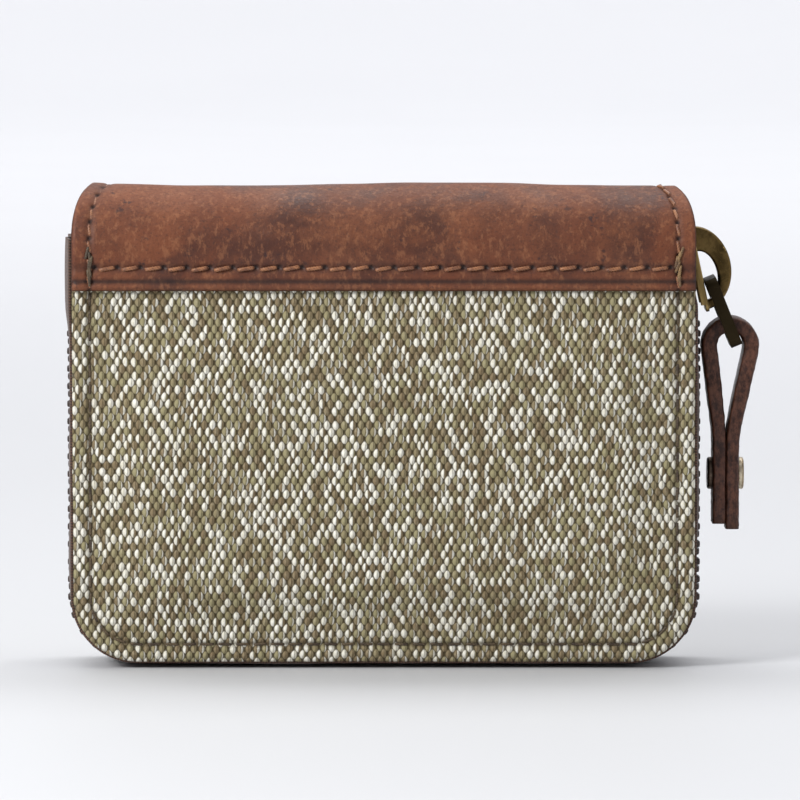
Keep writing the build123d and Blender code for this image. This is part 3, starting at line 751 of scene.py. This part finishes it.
# ---- threads ----
def twisted_stitch(middle, along, outward, long, thick, tilt=0.0, turns=2.6):
    """One stitch of two-ply thread that rises from its hole and dips into the next."""
    side = np.cross(outward, along)
    direction = along * cos(tilt) + side * sin(tilt)
    across = np.cross(outward, direction)
    t = np.linspace(-1, 1, 15)
    lift = thick * (0.95 * np.sqrt(np.clip(1 - t**4, 0, 1)) - 0.75)
    path = middle + np.outer(t * long / 2, direction) + np.outer(lift, outward)
    girth = thick * (0.45 + 0.55 * np.sqrt(np.clip(1 - t**6, 0, 1)))
    ring = np.linspace(0, 2 * pi, 12, endpoint=False)
    lobes = 0.72 + 0.28 * np.abs(np.cos(ring[None, :] - (t * turns * pi)[:, None]))
    radius = girth[:, None] * lobes * 0.62
    points = (
        path[:, None, :]
        + across[None, None, :] * (radius * np.cos(ring) * 1.15)[..., None]
        + outward[None, None, :] * (radius * np.sin(ring))[..., None]
    )
    # marks the hollows between the plies, where the thread gets painted shade
    groove = smooth_step(-lobes, -0.84, -0.73)
    return points, groove


def thread_object(name, stitches, material):
    """All the stitches of one seam as one piece."""
    piece = join_tubes(name, [points for points, _ in stitches], material)
    add_float(piece, "groove", np.concatenate([groove.ravel() for _, groove in stitches]))
    return piece


def band_seam(side):
    """Slanted long stitches along the leather's lower edge."""
    stitches = []
    outward = np.array([0.0, side, 0.0])
    for x in band_places:
        middle = np.array([x + rng.normal(0, 0.08) * MM, side * (BAND_R - 0.30 * MM), BAND_SEAM_Z])
        middle[2] += rng.normal(0, 0.07) * MM
        tilt = radians(8) + rng.normal(0, 0.03)
        along = np.array([-side, 0.0, 0.0])
        stitches.append(twisted_stitch(middle, along, outward, 3.2 * MM, 0.56 * MM, tilt, 3.2))
    return stitches


def cover_seam(side, pad):
    """Edge seam sunk in the canvas, from one end of the leather round to the other."""
    radius = CORNER_R - SEAM_INSET
    right, low = HALF - SEAM_INSET, LOW + SEAM_INSET
    straight = BAND_BOTTOM - LOW - CORNER_R
    bottom = 2 * (HALF - CORNER_R)
    bend = radius * pi / 2
    total = 2 * straight + 2 * bend + bottom
    count = int(round(total / STITCH_PITCH))
    stitches = []
    for index in range(count):
        s = (index + 0.5) * total / count
        x, z, dx, dz = rounded_path(s, straight, bend, bottom, radius, right, low)
        out = cover_relief(np.array([[x]]), np.array([[z]]), COVER_SEED + side, pad)[0][0, 0]
        middle = np.array([x, side * (FACE - 0.02 * MM + out), z])
        along = np.array([dx, 0.0, dz])
        outward = np.array([0.0, side, 0.0])
        tilt = rng.normal(0, 0.05)
        stitches.append(twisted_stitch(middle, along, outward, 2.6 * MM, 0.40 * MM, tilt, 2.4))
    return stitches


def rounded_path(s, straight, bend, bottom, radius, right, low):
    """Point and direction along a path down one side, round the corners and up the other."""
    mirror_s = 2 * straight + 2 * bend + bottom - s
    flip = 1.0 if s <= mirror_s else -1.0
    s = min(s, mirror_s)
    if s < straight:
        x, z, dx, dz = -right, low + radius + straight - s, 0.0, -1.0
    elif s < straight + bend:
        turn = (s - straight) / radius
        x = -right + radius * (1 - cos(turn))
        z = low + radius * (1 - sin(turn))
        dx, dz = sin(turn), -cos(turn)
    else:
        x, z, dx, dz = -right + radius + s - straight - bend, low, 1.0, 0.0
    return flip * x, z, dx, flip * dz


def end_seam(end):
    """Edge seam over one end of the leather, from the front cover's side to the back's."""
    stitches = []
    for index in range(EDGE_COUNT):
        s = (index + 0.5) * SECTION_LENGTH / EDGE_COUNT
        spots = []
        for shift in (-1 * MM, 0.0, 1 * MM):
            y, z, _, _ = section(np.array(s + shift), BAND_R - 0.40 * MM)
            _, z_out, _, _ = section(np.array(s + shift), BAND_R)
            spots.append(np.array([end * end_x(z_out, SEAM_INSET), y, z]))
        along = spots[2] - spots[0]
        along /= np.linalg.norm(along)
        _, _, oy, oz = section(np.array(s), BAND_R)
        outward = np.array([0.0, float(oy), float(oz)])
        tilt = radians(13) + rng.normal(0, 0.04)
        stitches.append(twisted_stitch(spots[1], along, outward, 2.5 * MM, 0.46 * MM, tilt))
    return stitches


def bar_tack(side, end):
    """Short overlapping stitches where the two seams cross."""
    stitches = []
    outward = np.array([0.0, side, 0.0])
    for index in range(7):
        z = BAND_SEAM_Z + (index - 2.6) * 0.85 * MM
        x = end * (HALF - SEAM_INSET) + rng.normal(0, 0.28) * MM
        along = np.array([rng.normal(0, 0.25), 0.0, 1.0])
        along /= np.linalg.norm(along)
        middle = np.array([x, side * (BAND_R - 0.05 * MM), z])
        stitches.append(twisted_stitch(middle, along, outward, 2.4 * MM, 0.38 * MM))
    return stitches


end_threads = thread_object("spine_end_threads", end_seam(-1) + end_seam(1), copper_thread)
for piece, slot, inner_face in (
    (band, "band_leather", BAND_R - 2.0 * MM),
    (core, "foam", FACE - 2.3 * MM),
    (lining, "lining", LINING_R - 0.5 * MM),
    (end_threads, "edge_thread", BAND_R - 2.0 * MM),
):
    # only the curve inside a layer's two flat sides bends
    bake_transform(piece, "front_cover", "back_cover", (0, -inner_face, RIDGE), (0, inner_face, RIDGE))
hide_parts("front_spine_leather", "back_spine_leather")
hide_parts("front_foam_interlining", "back_foam_interlining")
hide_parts("front_lining", "back_lining")

for side, name in SIDES:
    body = f"{name}_cover"
    band_thread = thread_object(f"{name}_band_thread", band_seam(side), copper_thread)
    edge_thread = thread_object(f"{name}_edge_thread", cover_seam(side, pad), brown_thread)
    left_tack = thread_object(f"{name}_left_bar_tack", bar_tack(side, -1), brown_thread)
    right_tack = thread_object(f"{name}_right_bar_tack", bar_tack(side, 1), gold_thread)
    stand_for(band_thread, body, "band_thread", f"{name}_band_stitches")
    stand_for(edge_thread, body, "edge_thread", f"{name}_edge_stitches")
    stand_for(left_tack, body, "edge_thread")
    stand_for(right_tack, body, "edge_thread")


# ---- zip ----
CHAIN_X = tape_high.x - 0.3 * MM
LEAN = radians(12)
BEND_Z = 67 * MM
TOOTH_PITCH = 3.27 * MM
TAPE_STEP = 0.8 * MM


def chain_points(step):
    """Evenly spaced points of the chain's line with their outward directions, left top to right top."""
    radius = CORNER_R
    straight = BEND_Z - CHAIN_Z - radius
    lean_run = (tape_high.z - BEND_Z) / cos(LEAN)
    bottom = 2 * (CHAIN_X - radius)
    bend = radius * pi / 2
    half_length = lean_run + straight + bend + bottom / 2
    count = int(half_length / step)
    half = []
    for index in range(count + 1):
        s = half_length - index * step
        if s < 0:
            break
        if s < lean_run:
            back = lean_run - s
            x, z = -CHAIN_X + back * sin(LEAN), BEND_Z + back * cos(LEAN)
            out = (-cos(LEAN), sin(LEAN))
        else:
            x, z, dx, dz = rounded_path(
                s - lean_run, straight, bend, bottom, radius, CHAIN_X, CHAIN_Z
            )
            out = (dz, -dx)
        half.append((x, z, *out))
    half = np.array(half)
    right = half * np.array([-1, 1, -1, 1])
    return np.concatenate([half[::-1], right[1:]])


def tape_wall(side, name):
    """Zip tape from the cover's edge to the chain, bellied out a little, puffed at its left end."""
    x, z, ox, oz = chain_points(TAPE_STEP).T
    columns = 16
    depth = np.linspace(TAPE_Y - 0.1 * MM, 0.9 * MM, columns)
    share = (depth - depth[-1]) / (depth[0] - depth[-1])
    run = np.arange(len(x)) * TAPE_STEP
    bulge = (0.35 + 0.30 * waves(run, run * 0, 24 * MM, 21 + side)) * MM
    belly = np.sin(pi * share)[None, :] * bulge[:, None]
    puff = smooth_step(z, 60 * MM, 68 * MM) * (x < 0)
    upright = 0.2 * MM + np.maximum(z - BEND_Z, 0) * np.tan(LEAN)
    belly = belly + (puff * upright)[:, None] + puff[:, None] * np.sin(pi * share)[None, :] * 0.5 * MM
    px = x[:, None] + ox[:, None] * belly
    pz = z[:, None] + oz[:, None] * belly
    py = side * depth[None, :] * np.ones_like(px)
    tape = grid_object(f"{name}_zip_tape_cloth", np.stack([px, py, pz], -1), tape_look, flip=side > 0)
    add_float(tape, "run", np.repeat((run / MM)[:, None], columns, 1))
    add_float(tape, "depth", np.repeat((depth / MM)[None, :], len(x), 0))
    return solidify(tape, 0.55 * MM, 0)


def tape_hem(side, name):
    """The part of the tape sewn flat inside the cover, over the turned edge and up to the lining."""
    x, z, ox, oz = chain_points(TAPE_STEP).T
    columns = 6
    inward = np.linspace(-0.15, 5.0, columns) * MM
    run = np.arange(len(x)) * TAPE_STEP
    y = np.full((len(x), columns), side * (LINING_R - 0.45 * MM))
    y += side * 0.12 * MM * waves(run[:, None], inward[None, :], 14 * MM, 23 + side)
    points = np.stack([x[:, None] - ox[:, None] * inward, y, z[:, None] - oz[:, None] * inward], -1)
    hem = grid_object(f"{name}_zip_tape_hem", points, tape_look, flip=side > 0)
    add_float(hem, "run", np.repeat((run / MM)[:, None], columns, 1))
    add_float(hem, "depth", np.repeat((inward / MM)[None, :], len(x), 0))
    return solidify(hem, 0.4 * MM, 0)


def tooth_shape():
    """Moulded tooth: a block on the tape, a neck and a rounded head, along its own depth axis."""
    depth = np.array([-3.0, -2.9, -2.6, -1.6, -0.9, -0.5, -0.1, 0.35, 0.72, 0.86, 0.9]) * MM
    half_long = np.array([0.30, 0.52, 0.62, 0.62, 0.56, 0.46, 0.46, 0.60, 0.56, 0.42, 0.20]) * MM
    half_tall = np.array([0.80, 1.05, 1.18, 1.22, 1.22, 1.12, 1.08, 1.12, 1.02, 0.85, 0.50]) * MM
    count = len(depth)
    path = np.stack([0 * depth, 0 * depth, depth], -1)
    side = np.tile([1.0, 0, 0], (count, 1))
    up = np.tile([0, 1.0, 0], (count, 1))
    return sweep(path, side, up, half_long, half_tall, power=5.0, around=20)


def teeth_row(side, name):
    """Every second tooth of the closed chain."""
    line = chain_points(TOOTH_PITCH / 2)
    middle = len(line) // 2
    shape = tooth_shape()
    grids = []
    for index, (x, z, ox, oz) in enumerate(line):
        odd = (index - middle) % 2
        if z > TOOTH_TOP_Z or odd != (side < 0):
            continue
        run = np.array([-oz, 0, ox])
        out = np.array([ox, 0, oz])
        into = np.array([0, -side, 0.0])
        place = np.array([x, 0, z])
        grids.append(place + shape @ np.stack([run, out, into]))
    return join_tubes(f"{name}_zip_teeth_moulded", grids, teeth_look)


for side, name in SIDES:
    body = f"{name}_cover"
    stand_for(tape_wall(side, name), body, "zip_tape", f"{name}_zip_tape")
    stand_for(tape_hem(side, name), body, "zip_tape")
    stand_for(teeth_row(side, name), body, "zip_teeth", f"{name}_zip_teeth")


# ---- metal parts ----
def eased(node, name, body, slot, material, width):
    """Copy of a CAD node with eased edges, standing for the node."""
    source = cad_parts[node]
    mesh = source.data.copy()
    mesh.transform(source.matrix_world)
    piece = bpy.data.objects.new(name, mesh)
    bpy.context.collection.objects.link(piece)
    shape = bmesh.new()
    shape.from_mesh(mesh)
    bmesh.ops.remove_doubles(shape, verts=shape.verts, dist=0.004 * MM)
    bmesh.ops.dissolve_limit(shape, angle_limit=radians(4), verts=shape.verts, edges=shape.edges)
    shape.to_mesh(mesh)
    shape.free()
    bevel = piece.modifiers.new("eased", "BEVEL")
    bevel.width, bevel.segments, bevel.limit_method, bevel.angle_limit = width, 3, "ANGLE", radians(35)
    apply_modifiers(piece)
    only_material(piece.data, material)
    piece.data.shade_smooth()
    for attribute in list(piece.data.attributes):
        if attribute.name.startswith("custom_normal"):
            piece.data.attributes.remove(attribute)
    stand_for(piece, body, slot, node)


def only_material(mesh, material):
    """Gives every face of a mesh the one material."""
    mesh.materials.clear()
    mesh.materials.append(material)


eased("slider_body", "slider_shell", "slider", "slider_brass", brass_look, 0.22 * MM)
eased("slider_bridge", "slider_bail", "slider", "slider_brass", brass_look, 0.35 * MM)
eased("pull_link", "pull_link_bar", "link", "link_metal", link_look, 0.28 * MM)
eased("zip_end_stop", "zip_end_clip", "back_cover", "zip_metal", brass_look, 0.25 * MM)
for _, name in SIDES:
    eased(f"{name}_top_stop", f"{name}_top_clip", f"{name}_cover", "zip_metal", brass_look, 0.2 * MM)
only_material(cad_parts["rivet_post_cap"].data, rivet_dark_look)
# the tube cap gets the painted highlight copy
only_material(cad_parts["rivet_tube_cap"].data, rivet_highlight_look)


# ---- leather pull ----
def leather_pull():
    """Strip of leather folded round the link, seen on its cut edge, with a pressed-together tail."""
    layer, outer_r = 2.45 * MM, 5.2 * MM
    loop_r = outer_r - layer / 2
    loop_x, loop_z = strap_high.x - outer_r, strap_high.z - outer_r
    tail_x = rivet_low.x + 3.4 * MM  # where the two layers meet, a cap and a layer further in
    end_z, neck_z = strap_low.z, 43 * MM
    right = [(tail_x + layer / 2, z) for z in np.linspace(end_z + 0.2 * MM, neck_z, 24)]
    turn = np.linspace(-0.28, pi + 0.35, 40)
    loop = [(loop_x + loop_r * cos(t), loop_z + loop_r * sin(t)) for t in turn]
    left = [(tail_x - layer / 2, z) for z in np.linspace(neck_z, end_z + 1.2 * MM, 24)]
    corners = np.array(right + bridge(right[-1], loop[0]) + loop + bridge(loop[-1], left[0]) + left)
    for _ in range(10):
        corners[1:-1] = corners[1:-1] * 0.5 + (corners[:-2] + corners[2:]) * 0.25
    x, z = corners.T
    path = np.stack([x, 0 * x, z], -1)
    tangent = np.gradient(path, axis=0)
    tangent /= np.linalg.norm(tangent, axis=1, keepdims=True)
    side = np.tile([0.0, 1.0, 0.0], (len(x), 1))
    up = np.cross(side, tangent)
    ends = np.minimum(np.arange(len(x)), np.arange(len(x))[::-1])
    taper = 0.90 + 0.10 * np.clip(ends / 3, 0, 1)
    swell = 1.03 + 0.15 * smooth_step(z, neck_z - 1 * MM, neck_z + 8 * MM)
    half_width_y = 4.0 * MM
    half_wide = half_width_y * taper * (1 + 0.015 * np.sin(z / MM * 0.9))
    half_thick = layer / 2 * swell * (1 + 0.015 * np.sin(np.arange(len(x)) * 0.35))
    points = sweep(path, side, up, half_wide, half_thick, power=7.0, around=48)
    jitter = waves(points[..., 2], points[..., 0] * 3 + points[..., 1], 1.6 * MM, 31)
    points[..., 0] += 0.07 * MM * jitter
    strap = join_tubes("pull_strap_leather", [points], strap_look)
    half = np.abs(points[..., 1]) / half_width_y
    raw = smooth_step(half, 0.90, 0.98) * 0.75
    add_float(strap, "raw", raw)
    # painted highlight along the strap's rounded edges, partly pull-up lightening
    add_float(strap, "pull_up_and_highlight", smooth_step(half, 0.78, 0.90) * (1 - raw) * 0.8 + 0.15)
    # darker towards the tail's lower end
    add_float(strap, "dark", smooth_step(-z, -28 * MM, -24 * MM)[:, None] * 0.25 * np.ones_like(half))
    return strap


def bridge(start, end):
    """Points on the straight run between two points, without its ends."""
    return [tuple(np.array(start) * (1 - t) + np.array(end) * t) for t in np.linspace(0, 1, 16)[1:-1]]


stand_for(leather_pull(), "strap", "strap_leather", "pull_strap")


# ---- pockets ----
def pocket(node, body, name):
    """Pocket panel with a hemmed, notched upper edge that gapes a little."""
    low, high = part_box(node)
    side = -1 if low.y < 0 else 1
    outer = low.y if side < 0 else high.y
    x = np.linspace(low.x, high.x, 96)
    notch_r = 9 * MM
    notch = np.sqrt(np.maximum(notch_r**2 - x**2, 0)) - notch_r / 2
    top = high.z - np.maximum(notch, 0)
    share = np.linspace(0, 1, 48)[:, None]
    z = low.z + (top[None, :] - low.z) * share
    px = x[None, :] + 0 * share
    hem = bell(top[None, :] - z - 1.6 * MM, 0.5 * MM)
    gape = share**6 * np.cos(px / high.x * pi / 2) * 0.35
    inward = (0.12 * hem + gape + 0.05 * waves(px, z, 12 * MM, 41)) * MM
    y = outer - side * (0.05 * MM + np.maximum(inward, 0))
    panel = grid_object(name, np.stack([px, y, z], -1), pocket_look, flip=side > 0)
    stand_for(solidify(panel, 0.5 * MM, -1), body, "pocket_cloth", node)


for size in ("tall", "middle", "short"):
    pocket(f"card_slot_{size}", "front_cover", f"card_pocket_{size}")
pocket("note_pocket", "back_cover", "note_pocket_cloth")


# ---- set, light and camera ----
def backdrop():
    """Pale sweep that rises behind the pouch, far enough off to look at the pouch from behind."""
    flat_end, bend_r, columns = 2.8, 2.0, 9
    flat = np.linspace(-4.8, flat_end, 20)
    turn = np.linspace(0.1, pi / 2, 14)
    reach = np.concatenate([flat, flat_end + bend_r * np.sin(turn), [flat_end + bend_r]])
    rise = np.concatenate([0 * flat, bend_r * (1 - np.cos(turn)), [6.0]])
    y, x = np.meshgrid(reach, np.linspace(-6, 6, columns), indexing="ij")
    z, _ = np.meshgrid(rise, x[0], indexing="ij")
    g = Graph("sweep_paper")
    far = g.mix(g.noise(6, 2), (0.78, 0.787, 0.81), (0.80, 0.807, 0.83))
    # painted shade: the floor is darker near the pouch, toning down the lamps' pool of light there
    paper = g.finish(g.mix(g.attribute("painted_floor_shade"), far, (0.60, 0.608, 0.622)), 0.6)
    sweep_object = grid_object("sweep", np.stack([x, y, z], -1), paper)
    add_float(sweep_object, "painted_floor_shade", bell(y, 0.9))


def area_light(name, place, target, size, power, colour=(1, 1, 1)):
    lamp = bpy.data.lights.new(name, "AREA")
    lamp.shape, lamp.size, lamp.size_y = "RECTANGLE", size[0], size[1]
    lamp.energy, lamp.color = power, colour
    holder = bpy.data.objects.new(name, lamp)
    holder.location = place
    holder.rotation_euler = (Vector(target) - Vector(place)).to_track_quat("-Z", "Y").to_euler()
    holder.visible_camera = False
    bpy.context.collection.objects.link(holder)


backdrop()
middle = Vector((3 * MM, 0, 49.0 * MM))
area_light("key", (-0.60, -0.50, 0.52), middle, (0.32, 0.32), 6.2)
area_light("top", (0.0, 0.05, 0.85), middle, (0.9, 0.6), 2.0)
area_light("fill", (0.75, -0.50, 0.30), middle, (0.6, 0.6), 0.7)
area_light("wash", (0.0, 1.8, 3.0), (0, 2.9, 0.0), (6.4, 2.6), 126.0)
world = bpy.data.worlds.new("room")
world.use_nodes = True
room = world.node_tree
lit_by, output = room.nodes["Background"], room.nodes["World Output"]
lit_by.inputs[0].default_value, lit_by.inputs[1].default_value = (0.95, 0.95, 1.0, 1), 0.40
seen = room.nodes.new("ShaderNodeBackground")
seen.inputs[0].default_value = (0.90, 0.91, 0.94, 1)
ray, choice = room.nodes.new("ShaderNodeLightPath"), room.nodes.new("ShaderNodeMixShader")
room.links.new(ray.outputs["Is Camera Ray"], choice.inputs[0])
room.links.new(lit_by.outputs[0], choice.inputs[1])
room.links.new(seen.outputs[0], choice.inputs[2])
room.links.new(choice.outputs[0], output.inputs[0])
bpy.context.scene.world = world

camera_data = bpy.data.cameras.new("camera")
camera_data.lens, camera_data.sensor_width = 300, 36
camera_data.clip_start = 0.01
camera = bpy.data.objects.new("camera", camera_data)
ELEVATION, DISTANCE = radians(4.5), 1.240
camera.location = middle + Vector((0, -cos(ELEVATION), sin(ELEVATION))) * DISTANCE
camera.rotation_euler = (middle - camera.location).to_track_quat("-Z", "Y").to_euler()
bpy.context.collection.objects.link(camera)
bpy.context.scene.camera = camera
bpy.context.scene.view_settings.view_transform = "Standard"
